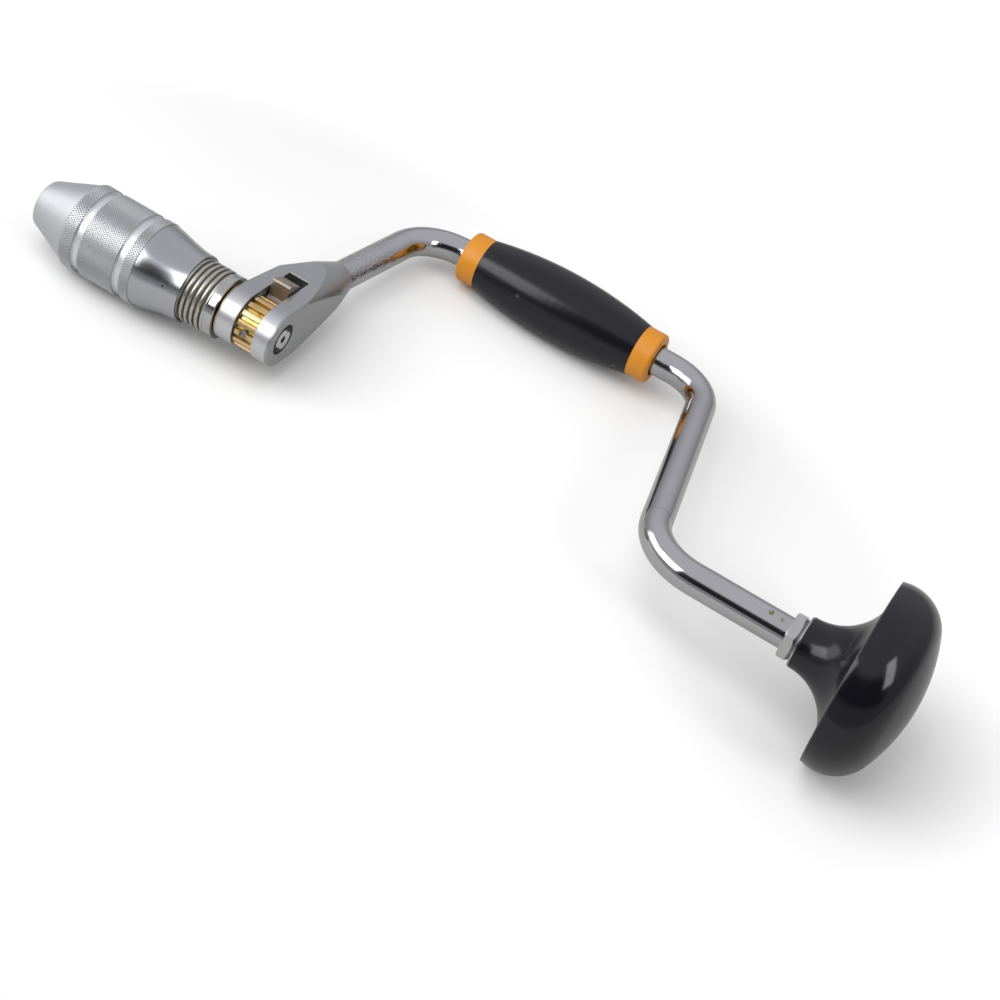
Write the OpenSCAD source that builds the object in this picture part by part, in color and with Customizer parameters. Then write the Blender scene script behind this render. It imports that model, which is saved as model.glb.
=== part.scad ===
// Bit brace with an open ratchet head, a two jaw screw chuck, a turning handle and a turning pad.
// The tool axis is X: the chuck mouth is at the origin and the pad is at the +X end.
// The crank lies in the XY plane with the handle towards +Y.

/* [Crank] */
// Distance from the tool axis to the handle axis
crank_throw = 125; // [115:1:140]
// Diameter of the crank bar
bar_d = 13; // [12:0.1:14]
// Lean of the front arm from square, in degrees
front_lean = 5.3; // [3:0.1:8]
// Lean of the rear arm from square, in degrees
rear_lean = 12; // [8:0.1:15]
// Distance between the two arms' lines at the handle axis
handle_span = 143.6; // [138:0.1:160]
// Bend radius at both ends of the handle
handle_bend_r = 22; // [19:0.5:24]
// Bend radius where the bar meets the tool axis
pad_bend_r = 26; // [21:0.5:32]
// How much thinner the bar is drawn in its bends
bend_draw = 0.05; // [0.03:0.01:0.1]
// Length from the rear arm's line to the shoulder under the pad nut
pad_rod_len = 61.3; // [50:0.1:80]

/* [Ratchet head] */
// Half height of the head and radius of its round end
head_r = 11.9; // [11.7:0.1:13.4]
// Thickness of the front ear
front_ear_w = 7.9; // [6:0.1:9]
// Draft of the front ear's face towards the boss, in degrees
front_draft = 6; // [3:0.5:8]
// Width of the gear slot
slot_w = 9.7; // [9:0.1:11]
// Thickness of the rear ear
rear_ear_w = 7.6; // [6:0.1:9]
// Distance from the tool axis to the closed end of the slot
slot_end_y = 26.3; // [25.6:0.1:26.6]
// Distance from the tool axis to the end of the boss round the bar
boss_end_y = 58.5; // [54:0.5:62]
// Wall of the boss round the bar, at its end
boss_wall = 0.6; // [0.4:0.1:1.2]
// Half angle of the turned cone at the boss
boss_angle = 17.5; // [16:0.5:20]
// Length of the turned cone at the boss
boss_len = 13; // [11:0.5:15]
// Half angle of the turned cone over the rest of the head
body_angle = 12.6; // [12:0.1:14]
// Distance along the arm at which the bar ends inside the head
bar_end_y = 35; // [34.4:0.1:36]
// Distance from the tool axis to the cross pin of the bar
rod_pin_y = 39; // [38.5:0.1:42]
// Radius of the cross pin of the bar
rod_pin_r = 1.8; // [1.4:0.1:2.4]

/* [Ratchet] */
// Number of teeth on the gear
gear_teeth = 16; // [12:4:20]
// Tip radius of the gear
gear_tip_r = 11.2; // [10.9:0.1:11.4]
// Depth of a tooth
tooth_depth = 2; // [1.6:0.1:2.2]
// Share of the tooth pitch that is tooth at the tip
tooth_share = 0.48; // [0.4:0.01:0.6]
// Gap between the front ear and the gear
gear_front_gap = 0.9; // [0.3:0.1:1.2]
// Radius of the pin through gear and spindle
gear_pin_r = 1.7; // [1.2:0.1:2]
// Gap between the gear's tips and the pawl
pawl_gap = 0.6; // [0.5:0.05:0.8]
// Distance from the tool axis to the pawl's pivot
pawl_pivot_y = 20.5; // [20:0.1:20.8]
// How far a nose of the pawl stands out of its gear side
pawl_nose = 1.6; // [1.2:0.1:1.8]
// Thickness of the pawl's rocker bar
pawl_bar_t = 4; // [3.4:0.1:4.6]
// Half height of the pawl
pawl_half_h = 15.8; // [14.8:0.1:17]
// Height of the pawl's back edge over its middle
pawl_back_h = 12.8; // [11:0.1:13.6]
// Radius of the pawl's hub
pawl_hub_r = 4; // [3.4:0.1:4.2]
// Radius of the pawl's pivot pin
pawl_pin_r = 2; // [1.5:0.1:2.4]
// Radius of the detent ball
ball_r = 2; // [1.6:0.1:2.2]
// Wire diameter of the detent spring
spring_wire_d = 0.7; // [0.5:0.05:0.8]
// Turns of the detent spring
spring_turns = 3.5; // [3:0.5:4]

/* [Chuck] */
// Length of the conical nose
nose_len = 20.3; // [18:0.1:24]
// Rounding of the front edge of the nose
nose_round = 1.5; // [0.8:0.1:2]
// Radius of the nose at its front
nose_r = 10.4; // [9.8:0.1:11]
// Radius of the knurled bands
shell_r = 18.4; // [17.6:0.1:20]
// Width of the first knurled band
front_band_w = 5.5; // [4:0.1:7]
// Width of the main knurled band
main_band_w = 17; // [14:0.1:20]
// Width of the last knurled band
rear_band_w = 4.4; // [3:0.1:6]
// Width of a groove between bands
groove_w = 3.6; // [2.6:0.1:4.4]
// Depth of a groove between bands
groove_depth = 0.9; // [0.5:0.05:1.4]
// Length of the concave neck
neck_len = 20.8; // [18:0.1:24]
// Radius of the neck at the rear of the shell
neck_r = 15; // [14.9:0.1:15.8]
// Radius of the mouth
mouth_r = 7.5; // [6.5:0.1:7.8]
// Length of the straight mouth
mouth_len = 4; // [3:0.1:4.6]
// Length of thread that shows behind the shell
thread_shown = 12.6; // [10:0.1:16]
// Root radius of the chuck thread
thread_root_r = 13; // [12.6:0.1:13.2]
// Radius of the polished collar
collar_r = 13.7; // [13:0.1:14.2]
// Width of the polished collar
collar_w = 3.6; // [3:0.1:6]
// Thickness of the washer at the front ear
thrust_washer_t = 0.5; // [0.3:0.05:1]
// Play between the collar and the thrust washer
collar_gap = 0.4; // [0.2:0.05:0.6]
// Radius of the spindle in the front ear and the gear
spindle_r = 7.5; // [7:0.1:8]
// Radius of the spindle in the rear ear
tail_r = 6; // [5.4:0.1:6.4]
// Countersink round the end of the spindle
tail_sink = 0.9; // [0.4:0.1:1.2]

/* [Jaws] */
// Distance from the mouth to the tips of the jaws
jaw_tip_x = 9; // [8.6:0.1:10]
// Width of a jaw
jaw_w = 9; // [7.5:0.1:9.2]
// Half of the opening between the jaws
jaw_open = 4.4; // [4:0.1:4.8]
// Largest radius of the jaws
jaw_r = 11.9; // [11:0.1:12]
// Length of a jaw
jaw_len = 49; // [46:0.1:52]
// Thickness of the leaf spring between the jaws
leaf_t = 0.8; // [0.5:0.05:1]
// Width of the leaf spring
leaf_w = 6; // [4:0.1:7]

/* [Handle] */
// Length of the black barrel
barrel_len = 78.2; // [70:0.1:80]
// Radius of the barrel at its ends
barrel_end_r = 11.8; // [11:0.1:12.4]
// Radius of the barrel at its middle
barrel_mid_r = 15.8; // [14:0.1:18]
// Distance of the barrel's middle from the middle between the bends, towards the chuck
barrel_offset = 2.9; // [0:0.1:3.2]
// Radius of a ferrule
ferrule_r = 11.6; // [11:0.1:12.4]
// Length of a ferrule
ferrule_len = 9.2; // [7:0.1:9.6]
// Radius of the edge rounding of a ferrule
ferrule_round = 1.6; // [0.8:0.1:2.2]
// Gap between the bar and the bore of a ferrule
ferrule_gap = 1.1; // [0.6:0.1:1.6]

/* [Pad] */
// Thickness of the hex nut
nut_t = 4.2; // [3:0.1:6]
// Width of the hex nut across its corners
nut_corner_d = 20; // [17:0.1:21]
// Thickness of the spacer behind the nut
spacer_t = 0.8; // [0.5:0.05:1.2]
// Radius of the spacer behind the nut
spacer_r = 8.4; // [7.6:0.1:9.4]
// Radius of the journal that carries the pad
journal_r = 5; // [4.4:0.1:5.6]
// Length of the pad's neck and flange
pad_base_len = 21; // [20:0.1:26]
// Radius of the neck
pad_neck_r = 10.6; // [10.2:0.1:11.6]
// Radius at which the flared neck meets the flat underside of the cap
flare_end_r = 27.6; // [24:0.1:28]
// Sweep of the flare, in degrees
flare_angle = 80; // [76:1:84]
// Largest radius of the pad
pad_r = 38.6; // [34:0.1:42]
// Height of the dome over the rim
dome_h = 27; // [26:0.1:30]
// Radius of the crown of the dome
crown_r = 71; // [60:1:90]
// Distance from the rim to the widest place of the dome
widest_x = 5; // [3:0.1:6]
// Thickness of the bush flange at the neck
bush_flange_t = 0.7; // [0.5:0.05:1.2]
// Outer radius of the bush
bush_r = 7.4; // [6.8:0.1:8]

/* [Clearances] */
// Radial gap of a running fit
run_gap = 0.05; // [0.02:0.01:0.08]
// Radial gap of a pressed or pinned fit within one body
seat_gap = 0.02; // [0.01:0.01:0.03]
// Gap between neighbours that move past each other
side_gap = 0.3; // [0.2:0.05:0.4]

/* [Hidden] */

round_fn = 96;
bar_fn = 64;
arc_steps = 20;
eps = 0.01;
past = 5;

bar_r = bar_d / 2;

// Places of the shell's bands along the tool axis
front_band_x = nose_len;
groove_1_x = front_band_x + front_band_w;
main_band_x = groove_1_x + groove_w;
groove_2_x = main_band_x + main_band_w;
rear_band_x = groove_2_x + groove_w;
neck_x = rear_band_x + rear_band_w;
shell_end_x = neck_x + neck_len;
band_step = 0.2;

// Places of the spindle and the head along the tool axis
collar_x = shell_end_x + thread_shown;
collar_end_x = collar_x + collar_w;
washer_x = collar_end_x + collar_gap;
head_x = washer_x + seat_gap + thrust_washer_t + side_gap / 3;
slot_x = head_x + front_ear_w;
rear_ear_x = slot_x + slot_w;
head_end_x = rear_ear_x + rear_ear_w;
slot_mid_x = slot_x + slot_w / 2;
gear_w = slot_w - gear_front_gap - side_gap;
gear_x = slot_x + gear_front_gap;

// The bar's front arm crosses the middle of the head at this distance from the tool axis
arm_root_y = 28;
arm_root_x = (head_x + head_end_x) / 2;
front_dir = [sin(front_lean), cos(front_lean)];
rear_dir = [sin(rear_lean), -cos(rear_lean)];
front_turn = 90 - front_lean;
rear_turn = 90 - rear_lean;
arm_x_at_axis = arm_root_x - arm_root_y * tan(front_lean);
corner_front = [arm_x_at_axis + crank_throw * tan(front_lean), crank_throw];
corner_rear = [corner_front[0] + handle_span, crank_throw];
corner_axis = [corner_rear[0] + crank_throw * tan(rear_lean), 0];
front_trim = handle_bend_r * tan(front_turn / 2);
rear_trim = handle_bend_r * tan(rear_turn / 2);
axis_trim = pad_bend_r * tan(rear_turn / 2);
shoulder_x = corner_axis[0] + pad_rod_len;
bar_start = [arm_x_at_axis + bar_end_y * tan(front_lean), bar_end_y];

// Places of the pad along the tool axis
spacer_x = shoulder_x + nut_t;
bush_x = spacer_x + spacer_t + side_gap;
pad_x = bush_x + bush_flange_t;
rim_x = pad_x + pad_base_len;
keeper_x = rim_x + side_gap;
keeper_t = 1.5;
keeper_r = 9;
keeper_nut_t = 5;
keeper_nut_d = 16;
journal_end_x = keeper_x + keeper_t + keeper_nut_t + 2;
cavity_r = 11;
cavity_len = journal_end_x - rim_x + 1;

// Handle: the barrel sits a little to the chuck's side of the middle between the two bends
grip_mid_x = (corner_front[0] + front_trim + corner_rear[0] - rear_trim) / 2;
barrel_x = grip_mid_x - barrel_offset - barrel_len / 2;

// Jaws and their cone
cone_x = jaw_tip_x - 1;
cone_step_x = cone_x + 4;
cone_end_x = groove_1_x + 0.4;
cone_slope = 0.345;
cone_bore_r = 8.9;
cone_nose_r = 11.8;
cone_body_r = 13.6;
cone_rear_bore_r = 12.5;
jaw_tip_r = cone_bore_r + (jaw_tip_x - cone_x) * cone_slope - 0.95;
jaw_end_x = jaw_tip_x + jaw_len;
shell_bore_r = 14.1;
body_front_x = 42;
jaw_slot_w = jaw_w + 2 * side_gap;
jaw_slot_end_x = jaw_end_x + 2;
jaw_groove = 2;
heel_r = 3;
heel_x = jaw_end_x - heel_r;
heel_z = 8;
leaf_x = jaw_end_x - 13;
leaf_z = 2.9;

// Pins of the head: both go in from the front and end in the rear ear
pin_sink = 0.2;
draft_start_y = 4;
rod_pin_x = head_x + (rod_pin_y - draft_start_y) * tan(front_draft) + pin_sink;
pin_hole_end_x = rear_ear_x + rear_ear_w * 0.6;

// Detent behind the pawl
ball_y = pawl_pivot_y + pawl_hub_r + ball_r + 0.4;
detent_bore_r = ball_r + 0.15;
spring_y = ball_y + ball_r + 0.2;
spring_len = bar_end_y - 0.6 - spring_y;
spring_r = ball_r - spring_wire_d / 2 - 0.15;

// Points on an arc, from angle a to angle b
function arc(centre, r, a, b) = [
    for (i = [0:arc_steps]) let (t = a + (b - a) * i / arc_steps)
        centre + r * [cos(t), sin(t)]
];

// A solid of revolution about the tool axis from points of [radius, x]
module turned(points) {
    rotate([0, 90, 0]) rotate_extrude($fn = round_fn) polygon(points);
}

// A round bar along the tool axis direction
module round_x(x, r, len, y = 0) {
    translate([x, y, 0]) rotate([0, 90, 0]) cylinder(h = len, r = r, $fn = round_fn);
}

// A straight stretch of the crank bar between two points of the crank plane
module bar_between(a, b) {
    d = b - a;
    translate([a[0], a[1], 0])
        rotate([0, 0, atan2(d[1], d[0])])
            rotate([0, 90, 0]) cylinder(h = norm(d), r = bar_r, $fn = bar_fn);
}

// A bend of the crank bar about a centre of the crank plane, let into the straights at both ends
module bar_bend(centre, r, start, turn) {
    let_in = 1;
    translate([centre[0], centre[1], 0]) rotate([0, 0, start - let_in])
        rotate_extrude(angle = turn + 2 * let_in, $fn = round_fn)
            translate([r, 0]) circle(r = bar_r - bend_draw, $fn = bar_fn);
}

module crank_rod() {
    front_a = corner_front - front_trim * front_dir;
    front_b = corner_front + [front_trim, 0];
    rear_a = corner_rear - [rear_trim, 0];
    rear_b = corner_rear + rear_trim * rear_dir;
    axis_a = corner_axis - axis_trim * rear_dir;
    axis_b = corner_axis + [axis_trim, 0];
    color("silver") difference() {
        union() {
            bar_between(bar_start, front_a);
            bar_bend(front_b - [0, handle_bend_r], handle_bend_r, 90, front_turn);
            bar_between(front_b, rear_a);
            bar_bend(rear_a - [0, handle_bend_r], handle_bend_r, rear_lean, rear_turn);
            bar_between(rear_b, axis_a);
            bar_bend(axis_b + [0, pad_bend_r], pad_bend_r, -90 - rear_turn, rear_turn);
            bar_between(axis_b, [shoulder_x, 0]);
            round_x(shoulder_x - past, journal_r, journal_end_x - shoulder_x + past);
        }
        round_x(head_x - past, rod_pin_r + seat_gap, head_end_x - head_x + 2 * past, rod_pin_y);
    }
}

// The envelope of the head: two cones turned about the front arm
module head_turning() {
    reach = 85;
    end_r = bar_r + boss_wall;
    end_round = 0.5;
    start = boss_end_y - reach;
    knee = boss_end_y - boss_len;
    knee_r = end_r + boss_len * tan(boss_angle);
    translate([arm_x_at_axis, 0, 0]) rotate([0, 0, -front_lean]) rotate([-90, 0, 0])
        rotate_extrude($fn = round_fn) polygon([
            [0, start], [knee_r + (knee - start) * tan(body_angle), start], [knee_r, knee],
            [end_r + end_round * tan(boss_angle), boss_end_y - end_round],
            [end_r - end_round, boss_end_y], [0, boss_end_y]
        ]);
}

// The side outline of the head, extruded across its two ears
module head_block() {
    translate([head_x, 0, 0]) rotate([90, 0, 90]) linear_extrude(head_end_x - head_x) union() {
        circle(r = head_r, $fn = round_fn);
        translate([0, -head_r]) square([boss_end_y, 2 * head_r]);
    }
}

// What is taken off the front ear so that its face falls back towards the boss
module front_draft_cut() {
    translate([head_x, draft_start_y, -head_r - past]) rotate([0, 0, -front_draft])
        translate([-2 * past, 0, 0]) cube([2 * past, boss_end_y, 2 * (head_r + past)]);
}

module ratchet_head() {
    color("darkgray") difference() {
        intersection() {
            head_block();
            head_turning();
        }
        front_draft_cut();
        translate([slot_x, -head_r - past, -head_r - past])
            cube([slot_w, slot_end_y + head_r + past, 2 * (head_r + past)]);
        round_x(head_x - past, spindle_r + run_gap, front_ear_w + past + eps);
        round_x(rear_ear_x - eps, tail_r + run_gap, rear_ear_w + past);
        turned([
            [0, head_end_x - tail_sink], [tail_r + run_gap, head_end_x - tail_sink],
            [tail_r + run_gap + tail_sink, head_end_x + eps], [0, head_end_x + eps]
        ]);
        bar_socket();
        round_x(head_x - past, pawl_pin_r + seat_gap, pin_hole_end_x - head_x + past, pawl_pivot_y);
        round_x(head_x - past, rod_pin_r + seat_gap, pin_hole_end_x - head_x + past, rod_pin_y);
        translate([slot_mid_x, slot_end_y - eps, 0]) rotate([-90, 0, 0])
            cylinder(h = bar_end_y - slot_end_y + 1, r = detent_bore_r, $fn = 48);
    }
}

// The hole in the boss that takes the bar
module bar_socket() {
    translate([bar_start[0], bar_start[1], 0]) rotate([0, 0, -front_lean]) rotate([-90, 0, 0])
        cylinder(h = boss_end_y, r = bar_r + seat_gap, $fn = round_fn);
}

module rod_pin() {
    color("gray") round_x(rod_pin_x, rod_pin_r, pin_hole_end_x - rod_pin_x - seat_gap, rod_pin_y);
}

module pawl_pin() {
    start = slot_x - front_ear_w / 2;
    color("gray") round_x(start, pawl_pin_r, pin_hole_end_x - start - seat_gap, pawl_pivot_y);
}

module detent_ball() {
    color("silver") translate([slot_mid_x, ball_y, 0]) sphere(r = ball_r, $fn = 48);
}

// Centre line of the detent spring, wound about the Y direction
coil_rings = 8 * spring_turns;
coil_sides = 6;
coil_pitch = (spring_len - spring_wire_d) / spring_turns;
function coil_point(i) = let (t = 360 * i / 8) [
    spring_r * cos(t),
    spring_y + spring_wire_d / 2 + coil_pitch * t / 360,
    spring_r * sin(t)
];
function coil_ring(i) = let (t = 360 * i / 8) [
    for (k = [0:coil_sides - 1]) let (a = 360 * k / coil_sides, d = spring_wire_d / 2 * cos(a))
        coil_point(i) + [d * cos(t), spring_wire_d / 2 * sin(a), d * sin(t)]
];
coil_gap = min([
    for (i = [0:coil_rings], j = [0:coil_rings]) if (j - i > 4) norm(coil_point(j) - coil_point(i))
]) - spring_wire_d;
echo(least_gap_between_turns = coil_gap);

module detent_spring() {
    points = [for (i = [0:coil_rings], p = coil_ring(i)) p];
    last = coil_rings * coil_sides;
    sides = [
        for (i = [0:coil_rings - 1], k = [0:coil_sides - 1])
            let (n = (k + 1) % coil_sides, a = i * coil_sides, b = a + coil_sides)
                each [[a + k, b + n, a + n], [a + k, b + k, b + n]]
    ];
    start_cap = [for (k = [1:coil_sides - 2]) [0, k, k + 1]];
    end_cap = [for (k = [1:coil_sides - 2]) [last, last + k + 1, last + k]];
    color("silver") translate([slot_mid_x, 0, 0])
        polyhedron(points = points, faces = concat(sides, start_cap, end_cap));
}

// Half of the pawl's side outline, from its middle to its top, with the nose towards the gear
function pawl_half() = let (
    bevel = 0.7,
    relief_y = gear_tip_r + 2 * pawl_gap,
    nose_angle = 1.5 * 360 / gear_teeth + 5.2,
    nose = (gear_tip_r + pawl_gap) * [cos(nose_angle), sin(nose_angle)],
    nose_width = 1.2,
    face_y = nose[0] + pawl_nose,
    back_y = pawl_pivot_y - 0.9
) [
    [relief_y, 0], [relief_y, nose[1] - nose_width], nose,
    [face_y, nose[1] + pawl_nose * 0.45], [face_y, pawl_half_h - bevel],
    [face_y + bevel, pawl_half_h], [back_y, pawl_back_h],
    [back_y, pawl_back_h - 1], [face_y + pawl_bar_t, pawl_hub_r], [pawl_pivot_y, 0]
];

module pawl() {
    width = slot_w - 4 * side_gap;
    start = slot_mid_x - width / 2;
    half = pawl_half();
    color("rosybrown") difference() {
        union() {
            translate([start, 0, 0]) rotate([90, 0, 90]) linear_extrude(width)
                polygon(concat(half, [
                    for (i = [len(half) - 2:-1:1]) [half[i][0], -half[i][1]]
                ]));
            round_x(start, pawl_hub_r, width, pawl_pivot_y);
        }
        round_x(start - 1, pawl_pin_r + run_gap, width + 2, pawl_pivot_y);
    }
}

module chuck_spindle() {
    edge = 0.6;
    centre_hole = 1.6;
    tail_end_x = head_end_x - pin_sink;
    tail_x = rear_ear_x - side_gap;
    color("silver") difference() {
        turned([
            [0, body_front_x], [thread_root_r - edge, body_front_x],
            [thread_root_r, body_front_x + edge], [thread_root_r, collar_x],
            [collar_r, collar_x], [collar_r, collar_end_x - edge / 2],
            [collar_r - edge / 2, collar_end_x], [spindle_r, collar_end_x],
            [spindle_r, tail_x], [tail_r, tail_x],
            [tail_r, tail_end_x - edge], [tail_r - edge, tail_end_x],
            [centre_hole, tail_end_x], [0, tail_end_x - centre_hole]
        ]);
        translate([body_front_x - past, -jaw_slot_w / 2, -thread_root_r - past])
            cube([jaw_slot_end_x - body_front_x + past, jaw_slot_w, 2 * (thread_root_r + past)]);
        gear_pin_hole();
    }
}

// The radial hole through gear and spindle
module gear_pin_hole() {
    translate([slot_mid_x, -gear_tip_r - past, 0]) rotate([-90, 0, 0])
        cylinder(h = 2 * (gear_tip_r + past), r = gear_pin_r + seat_gap, $fn = 48);
}

module ratchet_gear() {
    pitch = 360 / gear_teeth;
    root_r = gear_tip_r - tooth_depth;
    tip_half = gear_tip_r * sin(pitch * (1 - tooth_share) / 2);
    root_half = tip_half * 0.62;
    color("gold") difference() {
        translate([gear_x, 0, 0]) rotate([90, 0, 90]) linear_extrude(gear_w) difference() {
            circle(r = gear_tip_r, $fn = round_fn);
            circle(r = spindle_r + seat_gap, $fn = round_fn);
            for (i = [0:gear_teeth - 1]) rotate((i + 0.5) * pitch) polygon([
                [root_r, -root_half], [gear_tip_r + 1, -tip_half * 1.2],
                [gear_tip_r + 1, tip_half * 1.2], [root_r, root_half]
            ]);
        }
        gear_pin_hole();
    }
}

module gear_pin() {
    half = gear_tip_r - 1.1;
    color("gray") translate([slot_mid_x, -half, 0]) rotate([-90, 0, 0])
        cylinder(h = 2 * half, r = gear_pin_r, $fn = 48);
}

module thrust_washer() {
    color("goldenrod") difference() {
        round_x(washer_x + seat_gap, head_r - 0.3, thrust_washer_t);
        round_x(washer_x - 1, spindle_r + run_gap, thrust_washer_t + 2);
    }
}

// A flat spring bent to a U, with its closed end towards the spindle
module jaw_spring() {
    bend_x = jaw_slot_end_x - side_gap - leaf_z;
    color("steelblue") rotate([90, 0, 0]) translate([0, 0, -leaf_w / 2])
        linear_extrude(leaf_w) difference() {
            union() {
                translate([leaf_x, -leaf_z]) square([bend_x - leaf_x, 2 * leaf_z]);
                translate([bend_x, 0]) circle(r = leaf_z, $fn = 64);
            }
            translate([leaf_x - 1, -leaf_z + leaf_t])
                square([bend_x - leaf_x + 1, 2 * (leaf_z - leaf_t)]);
            translate([bend_x, 0]) circle(r = leaf_z - leaf_t, $fn = 64);
        }
}

module jaw_cone() {
    cylinder_x = cone_x + (cone_rear_bore_r - cone_bore_r) / cone_slope;
    color("dimgray") turned([
        [cone_bore_r, cone_x], [cone_nose_r, cone_x], [cone_nose_r, cone_step_x],
        [cone_body_r, cone_step_x], [cone_body_r, cone_end_x], [cone_rear_bore_r, cone_end_x],
        [cone_rear_bore_r, cylinder_x]
    ]);
}

// Outline of the concave neck, from the last band to the rear edge
function neck_curve() = [
    for (i = [0:arc_steps]) let (t = i / arc_steps, fall = (1 - cos(180 * pow(t, 0.8))) / 2)
        [shell_r - band_step - (shell_r - band_step - neck_r) * fall, neck_x + neck_len * t]
];

module chuck_shell() {
    edge = 0.5;
    floor_r = shell_r - groove_depth;
    color("silver") turned(concat(
        [
            [mouth_r, 0]
        ],
        arc([nose_r - nose_round, nose_round], nose_round, -90, -atan2(shell_r - nose_r, nose_len)),
        [
            [shell_r - band_step, front_band_x], [shell_r, front_band_x], [shell_r, groove_1_x],
            [floor_r, groove_1_x + edge / 2], [floor_r, main_band_x - edge / 2],
            [shell_r, main_band_x], [shell_r, groove_2_x],
            [floor_r, groove_2_x + edge / 2], [floor_r, rear_band_x - edge / 2],
            [shell_r, rear_band_x], [shell_r, neck_x]
        ],
        neck_curve(),
        [
            [shell_bore_r, shell_end_x], [shell_bore_r, cone_end_x],
            [cone_body_r + run_gap, cone_end_x], [cone_body_r + run_gap, cone_step_x - side_gap / 2],
            [cone_nose_r + run_gap, cone_step_x - side_gap / 2],
            [cone_nose_r + run_gap, cone_x - side_gap / 2],
            [cone_bore_r, cone_x - side_gap / 2], [mouth_r, mouth_len]
        ]
    ));
}

// A jaw with a cone at its tip and a round heel that it rocks on
module jaw_blank() {
    full_x = jaw_tip_x + (jaw_r - jaw_tip_r) / cone_slope;
    difference() {
        union() {
            intersection() {
                turned([
                    [0, jaw_tip_x], [jaw_tip_r, jaw_tip_x], [jaw_r, full_x],
                    [jaw_r, heel_x], [0, heel_x]
                ]);
                translate([0, -jaw_w / 2, jaw_open]) cube([jaw_end_x, jaw_w, jaw_r]);
            }
            translate([heel_x, -jaw_w / 2, heel_z]) rotate([-90, 0, 0])
                cylinder(h = jaw_w, r = heel_r, $fn = round_fn);
        }
        translate([0, 0, jaw_open]) rotate([45, 0, 0])
            translate([0, -jaw_groove / 2, -jaw_groove / 2]) cube([body_front_x, jaw_groove, jaw_groove]);
    }
}

module jaw_upper() {
    color("slategray") jaw_blank();
}

module jaw_lower() {
    color("slategray") mirror([0, 0, 1]) jaw_blank();
}

module grip_barrel() {
    rise = barrel_mid_r - barrel_end_r;
    bow_r = (pow(barrel_len / 2, 2) + pow(rise, 2)) / (2 * rise);
    half_angle = asin(barrel_len / 2 / bow_r);
    bow_centre = [barrel_mid_r - bow_r, barrel_x + barrel_len / 2];
    color("#222226") translate([0, crank_throw, 0]) turned(concat(
        arc(bow_centre, bow_r, -half_angle, half_angle),
        [[bar_r + run_gap, barrel_x + barrel_len], [bar_r + run_gap, barrel_x]]
    ));
}

// A ferrule from its joint with the barrel at x, growing along the given sense
module ferrule(x, sense) {
    end = x + sense * ferrule_len;
    centre = [ferrule_r - ferrule_round, end - sense * ferrule_round];
    color("orange") translate([0, crank_throw, 0]) turned(concat(
        [[bar_r + ferrule_gap, x], [ferrule_r, x]],
        arc(centre, ferrule_round, 0, sense * 90),
        [[bar_r + ferrule_gap, end]]
    ));
}

module front_ferrule() {
    ferrule(barrel_x - seat_gap, -1);
}

module rear_ferrule() {
    ferrule(barrel_x + barrel_len + seat_gap, 1);
}

module hex_ring(x, corner_d, len, bore_r, chamfer) {
    color("silver") difference() {
        intersection() {
            translate([x, 0, 0]) rotate([0, 90, 0]) cylinder(h = len, d = corner_d, $fn = 6);
            turned([
                [0, x], [corner_d / 2 - chamfer, x], [corner_d / 2, x + chamfer / 2],
                [corner_d / 2, x + len - chamfer / 2], [corner_d / 2 - chamfer, x + len], [0, x + len]
            ]);
        }
        round_x(x - 1, bore_r, len + 2);
    }
}

module pad_nut() {
    hex_ring(shoulder_x + seat_gap, nut_corner_d, nut_t - seat_gap, journal_r + seat_gap, 1.2);
}

module pad_washer() {
    color("dimgray") difference() {
        round_x(spacer_x + seat_gap, spacer_r, spacer_t);
        round_x(spacer_x - 1, journal_r + seat_gap, spacer_t + 2);
    }
}

module retaining_washer() {
    color("silver") difference() {
        round_x(keeper_x, keeper_r, keeper_t);
        round_x(keeper_x - 1, journal_r + seat_gap, keeper_t + 2);
    }
}

module retaining_nut() {
    hex_ring(keeper_x + keeper_t + seat_gap, keeper_nut_d, keeper_nut_t, journal_r + seat_gap, 0.8);
}

module pad_bush() {
    color("silver") difference() {
        union() {
            round_x(bush_x, pad_neck_r - 0.3, bush_flange_t);
            round_x(bush_x, bush_r, rim_x - bush_x);
        }
        round_x(bush_x - 1, journal_r + run_gap, rim_x - bush_x + 2);
    }
}

module pad_base() {
    flare_r = (flare_end_r - pad_neck_r) / (1 - cos(flare_angle));
    flare_centre = [pad_neck_r + flare_r, rim_x - flare_r * sin(flare_angle)];
    color("#222226") turned(concat(
        [[bush_r + seat_gap, pad_x + seat_gap], [pad_neck_r, pad_x + seat_gap]],
        arc(flare_centre, flare_r, 180, 180 - flare_angle),
        [[bush_r + seat_gap, rim_x]]
    ));
}

// The dome's shoulder is an arc that runs smoothly into the crown
crown_x = dome_h - crown_r;
crown_reach = pow(crown_r, 2) - pow(widest_x - crown_x, 2) - pow(pad_r, 2);
dome_shoulder_r = crown_reach / (2 * (crown_r - pad_r));
shoulder_centre = [pad_r - dome_shoulder_r, widest_x];
meet_angle = atan2(widest_x - crown_x, shoulder_centre[0]);

module pad_cap() {
    rim_angle = -asin(widest_x / dome_shoulder_r);
    outline = concat(
        arc(shoulder_centre, dome_shoulder_r, rim_angle, meet_angle),
        arc([0, crown_x], crown_r, meet_angle, 90)
    );
    color("#222226") translate([rim_x + seat_gap, 0, 0]) turned(concat(
        outline, [[0, cavity_len], [cavity_r, cavity_len], [cavity_r, 0]]
    ));
}

crank_rod();
ratchet_head();
rod_pin();
pawl_pin();
detent_ball();
detent_spring();
pad_nut();
pad_washer();
retaining_washer();
retaining_nut();
pawl();
chuck_spindle();
ratchet_gear();
gear_pin();
thrust_washer();
jaw_spring();
jaw_cone();
chuck_shell();
jaw_upper();
jaw_lower();
grip_barrel();
front_ferrule();
rear_ferrule();
pad_base();
pad_cap();
pad_bush();
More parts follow.
